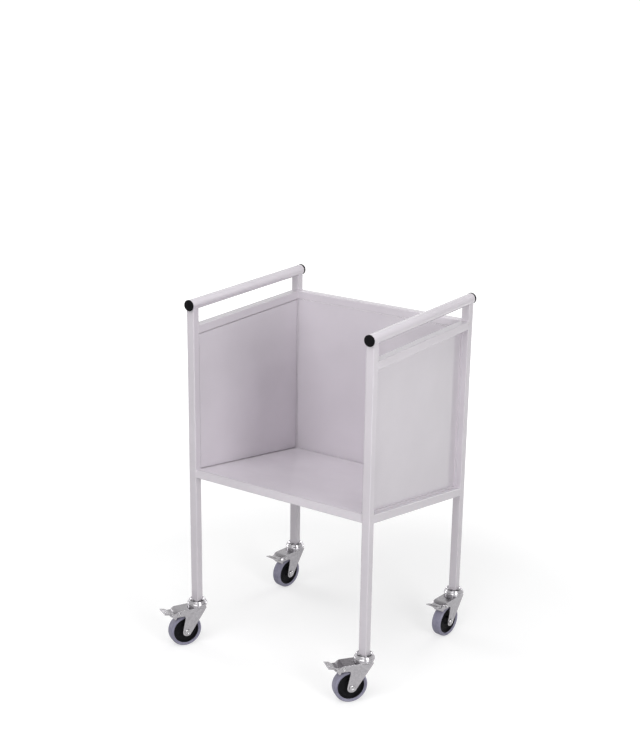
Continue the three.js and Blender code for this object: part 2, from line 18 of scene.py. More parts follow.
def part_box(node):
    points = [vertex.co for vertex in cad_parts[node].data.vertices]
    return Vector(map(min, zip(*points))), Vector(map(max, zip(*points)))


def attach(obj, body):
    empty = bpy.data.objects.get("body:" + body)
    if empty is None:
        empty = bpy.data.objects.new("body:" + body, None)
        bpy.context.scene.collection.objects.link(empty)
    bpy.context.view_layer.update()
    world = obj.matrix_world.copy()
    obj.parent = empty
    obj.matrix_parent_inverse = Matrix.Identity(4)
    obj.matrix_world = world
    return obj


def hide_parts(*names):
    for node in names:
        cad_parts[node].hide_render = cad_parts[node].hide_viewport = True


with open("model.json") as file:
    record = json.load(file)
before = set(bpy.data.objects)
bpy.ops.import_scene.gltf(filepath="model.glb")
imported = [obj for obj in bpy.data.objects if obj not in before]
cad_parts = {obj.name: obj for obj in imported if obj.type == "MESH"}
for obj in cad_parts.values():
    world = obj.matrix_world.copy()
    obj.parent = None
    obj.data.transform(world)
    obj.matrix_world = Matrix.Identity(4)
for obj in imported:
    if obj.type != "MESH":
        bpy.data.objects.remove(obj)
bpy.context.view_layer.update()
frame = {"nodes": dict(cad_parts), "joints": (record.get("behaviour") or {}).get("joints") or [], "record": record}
joints = {joint["name"]: joint for joint in frame["joints"]}
mounts = {mount["name"]: mount for mount in frame["record"]["mounts"]}
MM = 0.001
CORNERS = ("front_left", "front_right", "back_left", "back_right")
SIDES = ("left", "right")
ENDS = ("front", "back")

# %% [markdown]
# ## Where the camera stands
# The photograph looks down at the rack from the front right. A camera can be aimed with a constraint
# or by hand, but here its place was worked out once from the edges of the tubes, so it is written
# as the few numbers a photographer would give: how far it is turned, tilted and rolled, and the lens.

# %% Camera
PHOTO_LONG_SIDE = 732  # pixels
FOCAL_LENGTH = 1466.9  # pixels
HORIZON_SHIFT = 66  # pixels
CAMERA_TURN = math.radians(33.58)
CAMERA_TILT = math.radians(19.62)
CAMERA_ROLL = math.radians(0.85)
CAMERA_DISTANCE = 3.475
CAMERA_SIDESTEP = -22.9 * MM
AIM_HEIGHT = 535.6 * MM

post_boxes = {corner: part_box(f"{corner}_post") for corner in CORNERS}
post_centres = {corner: (low + high) / 2 for corner, (low, high) in post_boxes.items()}
middle = sum(post_centres.values(), Vector()) / len(CORNERS)
across_view = Vector((math.cos(CAMERA_TURN), math.sin(CAMERA_TURN), 0))
towards_camera = Vector((
    math.sin(CAMERA_TURN) * math.cos(CAMERA_TILT),
    -math.cos(CAMERA_TURN) * math.cos(CAMERA_TILT),
    math.sin(CAMERA_TILT),
))
up_view = towards_camera.cross(across_view)
aim = Vector((middle.x, middle.y, AIM_HEIGHT)) + across_view * CAMERA_SIDESTEP
axes = Matrix((across_view, up_view, towards_camera)).transposed().to_4x4()

camera_data = bpy.data.cameras.new("camera")
camera_data.lens = FOCAL_LENGTH / PHOTO_LONG_SIDE * camera_data.sensor_width
camera_data.shift_y = HORIZON_SHIFT / PHOTO_LONG_SIDE
camera = bpy.data.objects.new("camera", camera_data)
place = Matrix.Translation(aim + towards_camera * CAMERA_DISTANCE)
camera.matrix_world = place @ axes @ Matrix.Rotation(CAMERA_ROLL, 4, "Z")
bpy.context.scene.collection.objects.link(camera)
bpy.context.scene.camera = camera
print("lens", round(camera_data.lens, 1), "mm")

# %% [markdown]
# ## Small helpers for shader nodes
# Every finish below mixes a few noises, so the steps that repeat get a helper each: a noise in Object
# coordinates, a value carried from one range to another, a mix of two tints, and a bump.
# Object coordinates are in metres here, so a noise scale of 100 makes blotches about a centimetre wide.

# %% Shader helpers
FINISH_ENDING = "_finish"
NOISE_LOW, NOISE_HIGH = 0.3, 0.7  # most of a noise lies between these


def new_finish(name):
    """A material with its node tree and its main shader."""
    finish = bpy.data.materials.new(name + FINISH_ENDING)
    finish.use_nodes = True
    tree = finish.node_tree
    return finish, tree, tree.nodes["Principled BSDF"]


def grain(tree, scale, detail=2.0, stretch=(1, 1, 1)):
    """Noise with a given number of blotches in a metre, stretched along the axes if asked."""
    coordinates = tree.nodes.new("ShaderNodeTexCoord")
    mapping = tree.nodes.new("ShaderNodeMapping")
    mapping.inputs["Scale"].default_value = stretch
    texture = tree.nodes.new("ShaderNodeTexNoise")
    texture.inputs["Scale"].default_value = scale
    texture.inputs["Detail"].default_value = detail
    tree.links.new(coordinates.outputs["Object"], mapping.inputs["Vector"])
    tree.links.new(mapping.outputs["Vector"], texture.inputs["Vector"])
    return texture.outputs["Fac"]


def ranged(tree, value, start, end, low, high):
    """Carries a value from the range start to end over to the range low to high."""
    carried = tree.nodes.new("ShaderNodeMapRange")
    carried.inputs["From Min"].default_value = start
    carried.inputs["From Max"].default_value = end
    carried.inputs["To Min"].default_value = low
    carried.inputs["To Max"].default_value = high
    tree.links.new(value, carried.inputs["Value"])
    return carried.outputs["Result"]


def tint(tree, factor, first, second):
    """A colour that wanders between two tints."""
    ramp = tree.nodes.new("ShaderNodeValToRGB")
    start, end = ramp.color_ramp.elements
    start.position = NOISE_LOW
    start.color = (*first, 1)
    end.position = NOISE_HIGH
    end.color = (*second, 1)
    tree.links.new(factor, ramp.inputs["Fac"])
    return ramp.outputs["Color"]


def vary(tree, shader, blotches, tints, wear, roughness):
    """Blotches of two tints, and wear between two roughnesses; each noise is a scale and a detail."""
    shade = tint(tree, grain(tree, *blotches), *tints)
    tree.links.new(shade, shader.inputs["Base Color"])
    worn = ranged(tree, grain(tree, *wear), NOISE_LOW, NOISE_HIGH, *roughness)
    tree.links.new(worn, shader.inputs["Roughness"])


def bumped(tree, height, distance, strength, under=None):
    """A bump of that real height in metres, over another bump if one is given."""
    bump = tree.nodes.new("ShaderNodeBump")
    bump.inputs["Distance"].default_value = distance
    bump.inputs["Strength"].default_value = strength
    tree.links.new(height, bump.inputs["Height"])
    if under:
        tree.links.new(under, bump.inputs["Normal"])
    return bump.outputs["Normal"]


print("shader helpers ready")

# %% [markdown]
# ## Powder coat
# The tubes and sheets are powder coated: dry paint baked on, pale grey with a breath of mauve, and thinly
# glossy. Baked powder flows into a faint orange peel a few millimetres across, over slower waves, and
# its gloss wanders a little. A single grey would look like plastic, so colour, gloss and bump each get
# a noise.

# %% Powder coat
COAT_WEIGHT = 0.5
COAT_ROUGHNESS = 0.08
PAINT_TINTS = (0.628, 0.59, 0.634), (0.666, 0.6265, 0.673)


def powder_coat_finish():
    finish, tree, shader = new_finish("powder_coat")
    shader.inputs["Coat Weight"].default_value = COAT_WEIGHT
    shader.inputs["Coat Roughness"].default_value = COAT_ROUGHNESS
    vary(tree, shader, blotches=(7, 3), tints=PAINT_TINTS, wear=(45, 4), roughness=(0.11, 0.17))
    flow = bumped(tree, grain(tree, scale=60, detail=1), distance=0.1 * MM, strength=0.1)
    peel = bumped(tree, grain(tree, scale=380, detail=0), distance=0.03 * MM, strength=0.1, under=flow)
    tree.links.new(peel, shader.inputs["Normal"])
    return finish


powder_coat = powder_coat_finish()
print("made", powder_coat.name)

# %% [markdown]
# ## Black plastic and grey rubber
# The end plugs and the wheel cores are injection moulded in black plastic, which keeps the fine grain
# of the mould; the plugs are the deeper black. The tyres are blue-grey rubber, duller, with dust in the
# grain and a softer gloss. The same three noises serve both, with other numbers.

# %% Black plastic and rubber
PLASTIC_GLOSS = 0.05  # well under the usual 0.5, so that the black stays deep
PLASTIC_TINTS = (0.009, 0.009, 0.0105), (0.014, 0.014, 0.016)
PLUG_TINTS = (0.004, 0.0038, 0.0045), (0.007, 0.0066, 0.0078)
RUBBER_TINTS = (0.228, 0.22, 0.30), (0.305, 0.296, 0.385)


def black_plastic_finish(name, tints):
    finish, tree, shader = new_finish(name)
    shader.inputs["Specular IOR Level"].default_value = PLASTIC_GLOSS
    vary(tree, shader, blotches=(120, 3), tints=tints, wear=(260, 3), roughness=(0.33, 0.5))
    mould = bumped(tree, grain(tree, scale=2600, detail=2), distance=0.03 * MM, strength=0.3)
    tree.links.new(mould, shader.inputs["Normal"])
    return finish


def grey_rubber_finish():
    finish, tree, shader = new_finish("grey_tyre")
    vary(tree, shader, blotches=(90, 5), tints=RUBBER_TINTS, wear=(200, 4), roughness=(0.46, 0.68))
    dust = bumped(tree, grain(tree, scale=1500, detail=3), distance=0.06 * MM, strength=0.35)
    tree.links.new(dust, shader.inputs["Normal"])
    return finish


black_plastic = black_plastic_finish("black_plastic", PLASTIC_TINTS)
plug_black = black_plastic_finish("plug_black", PLUG_TINTS)
grey_tyre = grey_rubber_finish()
print("made", black_plastic.name, "and", plug_black.name, "and", grey_tyre.name)

# %% [markdown]
# ## Zinc plate and bright steel
# The forks, pedals and swivel cups are pressed from sheet and zinc plated. Bright zinc is a mirror that
# the sheet under it has clouded: rolling leaves faint long streaks, and the plating bath leaves patches
# of duller and bluer metal. One even gloss would look like chrome, so it wanders here too. The axles,
# pins and stems are turned steel, which is smoother.

# %% Zinc plate and bright steel
ZINC_TINTS = (0.36, 0.348, 0.366), (0.44, 0.428, 0.446)
STEEL_TINTS = (0.38, 0.375, 0.385), (0.48, 0.475, 0.485)
ROLLED = (1, 1, 12)  # squeezed along Z, so that the streaks lie level


def zinc_plate_finish():
    finish, tree, shader = new_finish("zinc_plate")
    shader.inputs["Metallic"].default_value = 1.0
    vary(tree, shader, blotches=(150, 4), tints=ZINC_TINTS, wear=(210, 3), roughness=(0.17, 0.26))
    dents = bumped(tree, grain(tree, scale=140, detail=2), distance=0.2 * MM, strength=0.2)
    rolling = grain(tree, scale=90, detail=2, stretch=ROLLED)
    streaks = bumped(tree, rolling, distance=0.03 * MM, strength=0.2, under=dents)
    tree.links.new(streaks, shader.inputs["Normal"])
    return finish


def bright_steel_finish():
    finish, tree, shader = new_finish("bright_steel")
    shader.inputs["Metallic"].default_value = 1.0
    vary(tree, shader, blotches=(240, 3), tints=STEEL_TINTS, wear=(320, 3), roughness=(0.14, 0.25))
    turning = bumped(tree, grain(tree, scale=900, detail=2), distance=0.02 * MM, strength=0.15)
    tree.links.new(turning, shader.inputs["Normal"])
    return finish


zinc_plate = zinc_plate_finish()
bright_steel = bright_steel_finish()
print("made", zinc_plate.name, "and", bright_steel.name)

# %% [markdown]
# ## From a bmesh to a piece of the rack
# Each shape is modelled near the origin, moved into place by one matrix, and then stored as an object
# that sits at the origin itself. Smooth shading with sharp edges kept, and a Weighted Normal modifier,
# make broad faces shade flat while narrow rounded corners catch the light.

# %% Making a piece
SHARP_ANGLE = math.radians(38)
WELD_DISTANCE = 0.001 * MM
RIM_ROUNDING = 0.4 * MM
RIM_ANGLE = math.radians(50)


def add_wall(made, thickness):
    """Gives a sheet its thickness on the inside, with softly rounded rims."""
    wall = made.modifiers.new("wall", "SOLIDIFY")
    wall.thickness = thickness
    wall.offset = -1
    rims = made.modifiers.new("rims", "BEVEL")
    rims.width = RIM_ROUNDING
    rims.segments = 2
    rims.limit_method = "ANGLE"
    rims.angle_limit = RIM_ANGLE


def make_piece(name, bm, place, finish, body, nodes=(), wall=None):
    """Stores a bmesh as a finished object that rides on a body and stands for its CAD nodes."""
    bmesh.ops.transform(bm, matrix=place, verts=bm.verts)
    mesh = bpy.data.meshes.new(name)
    bm.to_mesh(mesh)
    bm.free()
    mesh.materials.append(finish)
    mesh.shade_smooth()
    mesh.set_sharp_from_angle(angle=SHARP_ANGLE)
    made = bpy.data.objects.new(name, mesh)
    bpy.context.scene.collection.objects.link(made)
    if wall:
        add_wall(made, wall)
    weighted = made.modifiers.new("flat faces", "WEIGHTED_NORMAL")
    weighted.keep_sharp = True
    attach(made, body)
    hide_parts(*nodes)
    return made


def closed_shell(bm):
    """Merges doubles and turns every face outwards."""
    bmesh.ops.remove_doubles(bm, verts=bm.verts, dist=WELD_DISTANCE)
    bmesh.ops.recalc_face_normals(bm, faces=bm.faces)
    return bm


def round_off(bm, geom, offset, segments, affect="EDGES"):
    """Bevels edges, or vertices, with a round profile."""
    bmesh.ops.bevel(
        bm, geom=geom, offset=offset, offset_type="OFFSET", segments=segments,
        profile=0.5, affect=affect, material=-1, clamp_overlap=True,
    )


print("pieces are made by make_piece")

# %% [markdown]
# ## Two ways to shape most of the rack
# Turned pieces start as a line of corners in the XZ plane. Rounding a corner with a vertex bevel before
# the spin gives a smooth edge for a single number. Square tube starts as one square face whose corners
# are rounded in the same way; its outline is extruded along the tube, and solidify gives the wall.

# %% Turning and tube drawing
CORNER_SEGMENTS = 5
FULL_TURN = 2 * math.pi
TUBE = (post_boxes["front_left"][1] - post_boxes["front_left"][0]).x
TUBE_CORNER = 2 * MM
TUBE_WALL = 1.5 * MM
COPE_CUTS = 9


def corner_line(bm, corners, is_ring):
    """Joins (x, z, cut) corners in the XZ plane and rounds each by its cut; a ring is filled."""
    verts = [bm.verts.new((x, 0, z)) for x, z, cut in corners]
    if is_ring:
        bm.faces.new(verts)
    else:
        for start, end in zip(verts, verts[1:]):
            bm.edges.new((start, end))
    for vert, (x, z, cut) in zip(verts, corners):
        if cut:
            round_off(bm, [vert], cut, CORNER_SEGMENTS, affect="VERTICES")


def turned(corners, steps):
    """Spins a line of (radius, height, cut) corners round the Z axis."""
    bm = bmesh.new()
    corner_line(bm, corners, is_ring=False)
    bmesh.ops.spin(
        bm, geom=bm.verts[:] + bm.edges[:], cent=(0, 0, 0), axis=(0, 0, 1),
        angle=FULL_TURN, steps=steps, use_merge=True,
    )
    return closed_shell(bm)


def new_verts(grown):
    """The vertices among what an extrusion made."""
    return [item for item in grown["geom"] if isinstance(item, bmesh.types.BMVert)]


def square_tube(length=None, cope=None):
    """A hollow square tube up the Z axis; in place of a length, cope can give its height at each x."""
    bm = bmesh.new()
    bmesh.ops.create_grid(bm, x_segments=1, y_segments=1, size=TUBE / 2)
    round_off(bm, bm.verts[:], TUBE_CORNER, CORNER_SEGMENTS, affect="VERTICES")
    bmesh.ops.delete(bm, geom=bm.faces[:], context="FACES_ONLY")
    if cope:
        sides = [e for e in bm.edges if abs(e.verts[0].co.x - e.verts[1].co.x) > TUBE / 2]
        bmesh.ops.subdivide_edges(bm, edges=sides, cuts=COPE_CUTS)
    grown = bmesh.ops.extrude_edge_only(bm, edges=bm.edges[:])
    for vert in new_verts(grown):
        vert.co.z = cope(vert.co.x) if cope else length
    bmesh.ops.recalc_face_normals(bm, faces=bm.faces)
    bmesh.ops.solidify(bm, geom=bm.faces[:], thickness=TUBE_WALL)
    return bm


print("tube", round(TUBE / MM, 1), "mm square")

# %% [markdown]
# ## Posts
# The four posts run from the castors up to the handles, where their ends are cut to a saddle that the
# round tube sits in. That cut is called a cope. It could be a boolean with the handle, but the height of
# the end at each point just follows the handle's circle, so the end of the tube is moved there instead.

# %% Posts
handle_low, handle_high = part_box("left_handle")
HANDLE_RADIUS = (handle_high - handle_low).x / 2
HANDLE_HEIGHT = (handle_high.z + handle_low.z) / 2
SADDLE_GAP = 0.2 * MM
SADDLE_RADIUS = HANDLE_RADIUS + SADDLE_GAP

for corner in CORNERS:
    foot = post_boxes[corner][0].z
    tube = square_tube(cope=lambda x: HANDLE_HEIGHT - foot - math.sqrt(SADDLE_RADIUS**2 - x**2))
    place = Matrix.Translation((*post_centres[corner].xy, foot))
    make_piece(f"{corner}_post_tube", tube, place, powder_coat, "frame", [f"{corner}_post"])
print("posts from", round(foot / MM), "mm to the handles")

# %% [markdown]
# ## Top rails
# Three plain lengths of the same tube butt against the posts. There is none at the front, where the
# charts go in. A tube is modelled upright, so a quarter turn lays it along X or Y, and one function
# serves all the rails of the rack.

# %% Top rails
WELD_REACH = 0.3 * MM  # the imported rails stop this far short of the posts
ALONG_X = Matrix.Rotation(math.radians(90), 4, "Y")
ALONG_Y = Matrix.Rotation(math.radians(-90), 4, "X")


def make_rail(node, along, turn=Matrix.Identity(4), stretch=1):
    """A tube in place of a rail's node, laid along X or Y and then turned."""
    low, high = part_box(node)
    span = (high - low).x if along is ALONG_X else (high - low).y
    length = (span + 2 * WELD_REACH) * stretch
    start = Matrix.Translation((0, 0, -length / 2))
    place = Matrix.Translation((low + high) / 2) @ turn @ along @ start
    make_piece(f"{node}_tube", square_tube(length), place, powder_coat, "frame", [node])


make_rail("back_top_rail", ALONG_X)
for side in SIDES:
    make_rail(f"{side}_top_rail", ALONG_Y)
print("top rails on three sides")

# %% [markdown]
# ## The sloping rails under the shelf
# The shelf falls towards the back, so that charts lean away from the nurse. Its rails are tilted with
# it. The side rails are cut upright at both ends, where they meet the posts: a shear before the tilt
# leans the ends of a plain tube by the same angle.

# %% Shelf rails
slope = mounts["shelf_top"]["axis"]
SHELF_TILT = math.atan2(slope[1], slope[2])
SHELF_SLOPE = math.tan(SHELF_TILT)
tilt = Matrix.Rotation(-SHELF_TILT, 4, "X")
lean = Matrix.Identity(4)
lean[1][2] = -SHELF_SLOPE

for end in ENDS:
    make_rail(f"{end}_shelf_rail", ALONG_X, tilt)
for side in SIDES:
    make_rail(f"{side}_shelf_rail", ALONG_Y, tilt @ lean, stretch=1 / math.cos(SHELF_TILT))
print("shelf tilt", round(math.degrees(SHELF_TILT), 2), "degrees")

# %% [markdown]
# ## Push handles
# A handle is a length of round tube. It could be a cylinder primitive, but a turned wall has a real
# bore and softened ends.

# %% Handles
HANDLE_WALL = 1.5 * MM
HANDLE_EDGE = 0.4 * MM
HANDLE_STEPS = 72


def handle_tube(length):
    inner = HANDLE_RADIUS - HANDLE_WALL
    return turned([
        (inner, 0, 0),
        (HANDLE_RADIUS, 0, HANDLE_EDGE),
        (HANDLE_RADIUS, length, HANDLE_EDGE),
        (inner, length, 0),
        (inner, 0, 0),
    ], HANDLE_STEPS)


for side in SIDES:
    low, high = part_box(f"{side}_handle")
    place = Matrix.Translation(((low.x + high.x) / 2, low.y, HANDLE_HEIGHT)) @ ALONG_Y
    tube = handle_tube(high.y - low.y)
    make_piece(f"{side}_handle_tube", tube, place, powder_coat, "frame", [f"{side}_handle"])
print("handles", round(2 * HANDLE_RADIUS / MM, 1), "mm across")

# %% [markdown]
# ## End plugs
# A black plug closes each end of a handle. It is moulded, but as round as the tube, so it is turned as
# well: a domed head a little wider than the tube, with a shallow ring in it, and a tapered insert that
# grips the bore.

# %% End plugs
PLUG_GAP = 0.3 * MM
PLUG_STEPS = 64
INSERT_DEPTH = 14 * MM
INSERT_TAPER = 5 * MM
PROUD = {"front": 0, "back": 2.5 * MM}  # the plugs at the back aren't driven quite home


def end_plug(head, depth):
    """A plug with its head at positive Z, from z = 0 at the tube's end."""
    insert = HANDLE_RADIUS - HANDLE_WALL - PLUG_GAP
    return turned([
        (0, -INSERT_DEPTH, 0),
        (insert - 0.8 * MM, -INSERT_DEPTH, 0.6 * MM),
        (insert, INSERT_TAPER - INSERT_DEPTH, 0.5 * MM),
        (insert, PLUG_GAP, 0),
        (head, PLUG_GAP, 0.3 * MM),
        (head, depth * 0.72, 0.9 * MM),
        (head * 0.72, depth * 0.86, 0.3 * MM),
        (head * 0.66, depth * 0.74, 0.3 * MM),
        (head * 0.6, depth * 0.9, 0.4 * MM),
        (0, depth, 0),
    ], PLUG_STEPS)


for side in SIDES:
    handle_low, handle_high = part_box(f"{side}_handle")
    for end in ENDS:
        node = f"{side}_handle_{end}_plug"
        low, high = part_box(node)
        is_front = end == "front"
        mouth = handle_low.y if is_front else handle_high.y
        depth = mouth - low.y if is_front else high.y - mouth
        turn = Matrix.Rotation(math.pi, 4, "Z") if is_front else Matrix.Identity(4)
        seat = Matrix.Translation(((low.x + high.x) / 2, mouth + PROUD[end], HANDLE_HEIGHT))
        place = seat @ turn @ ALONG_Y
        plug = end_plug((high - low).x / 2, depth)
        make_piece(f"{node}_cap", plug, place, plug_black, "frame", [node])
print("plug heads", round((high - low).x / MM, 1), "mm across")

# %% [markdown]
# ## The back wall
# The back wall is one flat sheet set into the tubes. A cube would do for its shape, but a sheared edge
# under paint is never razor sharp: a face is extruded by the thickness of the sheet, and every edge gets
# a small bevel. The helper that pushes an outline across also starts the forks and pedals further down.

# %% Back wall
SHEET_EDGE = 0.35 * MM


def pushed_across(corners, start, width):
    """A solid from a ring of (x, z, cut) corners, which reaches along Y from start by its width."""
    bm = bmesh.new()
    corner_line(bm, corners, is_ring=True)
    bmesh.ops.translate(bm, vec=(0, start, 0), verts=bm.verts)
    grown = bmesh.ops.extrude_face_region(bm, geom=bm.faces[:])
    bmesh.ops.translate(bm, vec=(0, width, 0), verts=new_verts(grown))
    return closed_shell(bm)


low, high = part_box("back_panel")
width, height = high.x - low.x, high.z - low.z
outline = [(0, 0, 0), (width, 0, 0), (width, height, 0), (0, height, 0)]
wall = pushed_across(outline, start=0, width=high.y - low.y)
round_off(wall, wall.edges[:], SHEET_EDGE, 2)
make_piece("back_wall_sheet", wall, Matrix.Translation(low), powder_coat, "frame", ["back_panel"])
print("back wall", round(width / MM), "by", round(height / MM), "mm")

# %% [markdown]
# ## Side walls
# A side wall is a shallow pan, whose edges are folded back and then out to the tubes. That leaves a dark
# joint all round, which a plain sheet would not show. Its lower edge follows the slope of the rail below,
# so it starts as four corners rather than a box. Its edges are extruded twice, the first folds are
# rounded, and solidify gives the thickness.

# %% Side walls
JOINT_GAP = 2 * MM
FRONT_GAP = 0.8 * MM
REAR_GAP = 3 * MM
PAN_FOLD = 4 * MM
PAN_CORNER = 0.6 * MM


def side_wall_corners(depth, height, front, rear, gap):
    """Corners of a side wall, drawn in from the tubes at the front, at the rear, and above and below."""
    return [
        (front, (depth - front) * SHELF_SLOPE + gap),
        (depth - rear, rear * SHELF_SLOPE + gap),
        (depth - rear, height - gap),
        (front, height - gap),
    ]


def pan(inner, outer, fold, thickness):
    """A face in the XZ plane, its edges folded along Y and then out to the outer corners."""
    bm = bmesh.new()
    corner_line(bm, [(x, z, 0) for x, z in inner], is_ring=True)
    bends = bm.edges[:]
    rim = new_verts(bmesh.ops.extrude_edge_only(bm, edges=bends))
    bmesh.ops.translate(bm, vec=(0, fold, 0), verts=rim)
    rim_edges = [edge for edge in bm.edges if set(rim).issuperset(edge.verts)]
    for vert in new_verts(bmesh.ops.extrude_edge_only(bm, edges=rim_edges)):
        x, _, z = vert.co
        vert.co.x, vert.co.z = min(outer, key=lambda corner: math.dist(corner, (x, z)))
    bmesh.ops.recalc_face_normals(bm, faces=bm.faces)
    largest = max(bm.faces, key=lambda f: f.calc_area())
    if largest.normal.y * fold > 0:
        bmesh.ops.reverse_faces(bm, faces=bm.faces[:])
    round_off(bm, bends, PAN_CORNER, 3)
    bmesh.ops.solidify(bm, geom=bm.faces[:], thickness=thickness)
    return bm


for side in SIDES:
    low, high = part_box(f"{side}_panel")
    depth, height = high.y - low.y, high.z - low.z
    inner = side_wall_corners(depth, height, FRONT_GAP, REAR_GAP, JOINT_GAP)
    outer = side_wall_corners(depth, height, -WELD_REACH, -WELD_REACH, -WELD_REACH)
    inside, fold = (high.x, PAN_FOLD) if side == "left" else (low.x, -PAN_FOLD)
    wall = pan(inner, outer, fold, high.x - low.x)
    place = Matrix.Translation((inside, low.y, low.z)) @ Matrix.Rotation(math.radians(90), 4, "Z")
    make_piece(f"{side}_wall_sheet", wall, place, powder_coat, "frame", [f"{side}_panel"])
print("side walls", round(depth / MM), "mm deep")

# %% [markdown]
# ## The shelf
# The shelf is a folded sheet: it laps over the front rail, and its other three edges turn down inside
# the frame, which stiffens it. A flat slab would show no folds, so one grid face is stretched to size,
# three of its edges are extruded down, the folds are rounded, and solidify gives the thickness.

# %% Shelf
SHEET_THICKNESS = 1.2 * MM
SHELF_GAP = 1.5 * MM
SHELF_FLANGE = 14 * MM
FOLD_RADIUS = 1.6 * MM

low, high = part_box("shelf")
front_low, front_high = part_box("front_shelf_rail")
back_low, back_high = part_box("back_shelf_rail")
level = tilt.inverted()
front_rail = level @ ((front_low + front_high) / 2)
back_rail = level @ ((back_low + back_high) / 2)
shelf_front = front_rail.y - TUBE / 2
shelf_back = back_rail.y - TUBE / 2 - SHELF_GAP
shelf_top = (level @ Vector(mounts["shelf_top"]["pos_m"])).z


def folded_shelf():
    """Modelled level: the top of the sheet at shelf_top, before the whole shelf is tilted."""
    bm = bmesh.new()
    bmesh.ops.create_grid(bm, x_segments=1, y_segments=1, size=0.5)
    bmesh.ops.scale(bm, vec=(high.x - low.x, shelf_back - shelf_front, 1), verts=bm.verts)
    centre = ((low.x + high.x) / 2, (shelf_front + shelf_back) / 2, shelf_top)
    bmesh.ops.translate(bm, vec=centre, verts=bm.verts)
    front_edge = min(bm.edges, key=lambda e: e.verts[0].co.y + e.verts[1].co.y)
    folds = [e for e in bm.edges if e is not front_edge]
    grown = bmesh.ops.extrude_edge_only(bm, edges=folds)
    bmesh.ops.translate(bm, vec=(0, 0, -SHELF_FLANGE), verts=new_verts(grown))
    behind_rail = shelf_front + TUBE + SHELF_GAP
    for vert in bm.verts:
        if vert.co.z < shelf_top - MM and vert.co.y < behind_rail:
            vert.co.y = behind_rail
    bmesh.ops.recalc_face_normals(bm, faces=bm.faces)
    round_off(bm, folds, FOLD_RADIUS, 4)
    bmesh.ops.solidify(bm, geom=bm.faces[:], thickness=SHEET_THICKNESS)
    return bm


make_piece("shelf_sheet", folded_shelf(), tilt, powder_coat, "frame", ["shelf"])
print("shelf", round((shelf_back - shelf_front) / MM), "mm deep")

# %% [markdown]
# ## A weld bead
# Under the paint every joint is a weld, a low and slightly lumpy bead. A bead could be painted on as a
# bump, but it changes the outline of an inside corner, so it is real mesh: a turned capsule, roughened a
# little by noise, and added to one mesh that holds all the welds.

# %% A weld bead
BEAD_RADIUS = 1.5 * MM
BEAD_STEPS = 10
BEAD_RINGS = 9
BEAD_STRAIGHT = 0.8  # share of a bead's length at its full radius
SHOULDER_WIDTH, SHOULDER_HEIGHT = 0.7, 0.93  # shares of a bead's radius and of half its length
BEAD_LUMPS = 0.25 * MM
LUMPS_PER_METRE = 420
welds = bmesh.new()


def bead_outline(radius, half):
    """Corners of a capsule from tip to tip, with rings along its straight part."""
    straight = BEAD_STRAIGHT * half
    rings = [straight * (2 * ring / BEAD_RINGS - 1) for ring in range(BEAD_RINGS + 1)]
    return [
        (0, -half, 0),
        (SHOULDER_WIDTH * radius, -SHOULDER_HEIGHT * half, 0),
        *[(radius, height, 0) for height in rings],
        (SHOULDER_WIDTH * radius, SHOULDER_HEIGHT * half, 0),
        (0, half, 0),
    ]


def add_bead(point, along, length, radius=BEAD_RADIUS):
    """Adds a lumpy capsule, centred on a point, to the welds."""
    bead = turned(bead_outline(radius, length / 2), BEAD_STEPS)
    bmesh.ops.transform(bead, matrix=Matrix.Translation(point) @ along, verts=bead.verts)
    bead.normal_update()
    for vert in bead.verts:
        vert.co += vert.normal * noise.noise(vert.co * LUMPS_PER_METRE) * BEAD_LUMPS
    stored = bpy.data.meshes.new("bead")
    bead.to_mesh(stored)
    bead.free()
    welds.from_mesh(stored)
    bpy.data.meshes.remove(stored)


print("beads", round(2 * BEAD_RADIUS / MM, 1), "mm thick")

# %% [markdown]
# ## Welds on the tubes
# A rail's end is welded all round: beads across its top and foot, and one up each flank, where grinding
# has left it nearly flush. A post has a bead on both flanks where the handle sits in its saddle. The
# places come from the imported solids' boxes, so the beads follow the tubes.

# %% Welds on the tubes
FLUSH_SINK = 0.9 * MM  # a bead ground flush with a flat face lies this deep
END_BEAD = 0.85 * TUBE
FLANK_BEAD = 0.9 * TUBE
ALONG_Z = Matrix.Identity(4)


def weld_rail_end(x, y, top, foot, across):
    """Beads round the end of a rail; across is the level direction of its end face."""
    for z in (top, foot):
        add_bead((x, y, z), across, END_BEAD)
    middle_height = Vector((x, y, (top + foot) / 2))
    sideways = across.col[2].to_3d() * (TUBE / 2 - FLUSH_SINK)
    for flank in (-sideways, sideways):
        add_bead(middle_height + flank, ALONG_Z, FLANK_BEAD)


rail_thickness = TUBE / math.cos(SHELF_TILT)
for side in SIDES:
    low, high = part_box(f"{side}_top_rail")
    x = (low.x + high.x) / 2
    for y in (low.y, high.y):
        weld_rail_end(x, y, high.z, low.z, ALONG_X)
    low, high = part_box(f"{side}_shelf_rail")
    weld_rail_end(x, low.y, high.z, high.z - rail_thickness, ALONG_X)
    weld_rail_end(x, high.y, low.z + rail_thickness, low.z, ALONG_X)
for node in ("back_top_rail", "front_shelf_rail", "back_shelf_rail"):
    low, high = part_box(node)
    centre = (low + high) / 2
    for x in (low.x, high.x):
        weld_rail_end(x, centre.y, centre.z + TUBE / 2, centre.z - TUBE / 2, ALONG_Y)

saddle_rise = math.sqrt(HANDLE_RADIUS**2 - (TUBE / 2) ** 2)
for corner in CORNERS:
    for flank in (-1, 1):
        x = post_centres[corner].x + flank * TUBE / 2
        add_bead((x, post_centres[corner].y, HANDLE_HEIGHT - saddle_rise), ALONG_Y, END_BEAD)
print("welds on the tubes have", len(welds.faces), "faces")

# %% [markdown]
# ## Tacks on the walls
# The walls are only tacked to the posts, with short beads at even heights. Then the whole weld mesh
# becomes one piece, which stands for no solid of its own.

# %% Tacks on the walls
TACK_RADIUS = 1.2 * MM
TACK_LENGTH = 8 * MM
TACK_HEIGHTS = (0.1, 0.5, 0.9)  # shares of a wall's height

